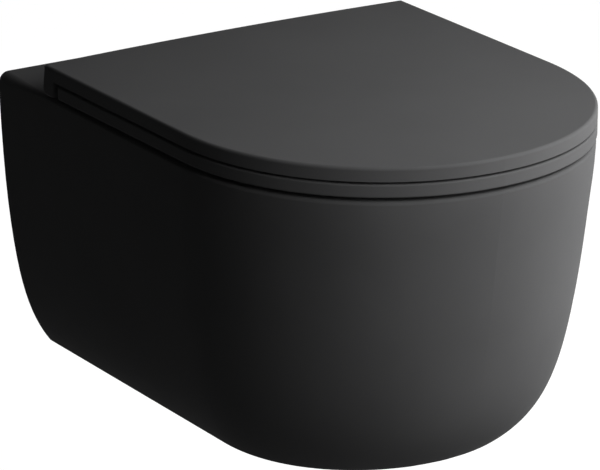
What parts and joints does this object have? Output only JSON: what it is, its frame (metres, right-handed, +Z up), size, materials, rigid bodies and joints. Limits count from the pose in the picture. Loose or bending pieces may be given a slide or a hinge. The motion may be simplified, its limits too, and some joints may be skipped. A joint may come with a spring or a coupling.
{
  "type": "wall hung toilet",
  "caption": "Compact wall hung toilet: matte black skirted rimless pan with trapway, slim soft-close seat and wrap-over lid on concealed hinges.",
  "frame": {"origin": "midway between the two wall fixing bolts, on the wall plane", "axes": "+Z up, +Y into the wall, +X to the right of a person who faces the toilet"},
  "size_m": [0.36, 0.493, 0.2856],
  "materials": {
    "black_ceramic": "matte glaze, satin",
    "black_seat_plastic": "fine satin thermoset",
    "bumper_rubber": "soft matte",
    "gasket_rubber": "soft matte",
    "hinge_chrome": "polished plating",
    "steel": "zinc plated",
    "brass": "turned",
    "damper_plastic": "moulded",
    "bush_plastic": "moulded nylon"
  },
  "bodies": {
    "pan": {"ceramic_pan": "black_ceramic", "hinge_post_left": "hinge_chrome", "hinge_post_right": "hinge_chrome", "hinge_shaft_left": "steel", "hinge_shaft_right": "steel", "lid_damper_rotor": "bush_plastic", "seat_damper_rotor": "bush_plastic", "shaft_set_screws": "steel", "post_gaskets": "gasket_rubber", "fixing_studs": "steel", "expansion_bushes": "gasket_rubber", "cone_nuts": "brass", "wall_barrels": "steel", "barrel_sleeves": "bush_plastic", "clamp_screws": "steel"},
    "seat": {"seat_ring": "black_seat_plastic", "seat_bumpers": "bumper_rubber", "seat_damper_housing": "damper_plastic", "seat_damper_screw": "steel", "seat_bush": "bush_plastic"},
    "lid": {"lid": "black_seat_plastic", "lid_bumpers": "bumper_rubber", "lid_damper_housing": "damper_plastic", "lid_damper_screw": "steel", "lid_bush": "bush_plastic"}
  },
  "joints": [
    {"name": "lid_lift", "type": "hinge", "parent": "pan", "child": "lid", "pos_m": [0, -0.0875, 0.0913], "axis": [-1, 0, 0], "range_deg": [0, 96]},
    {"name": "seat_lift", "type": "hinge", "parent": "pan", "child": "seat", "pos_m": [0, -0.0875, 0.0913], "axis": [-1, 0, 0], "range_deg": [0, 94]}
  ],
  "couplings": [
    {"joint": "seat_lift", "follows": "lid_lift", "ratio": 0.979}
  ]
}
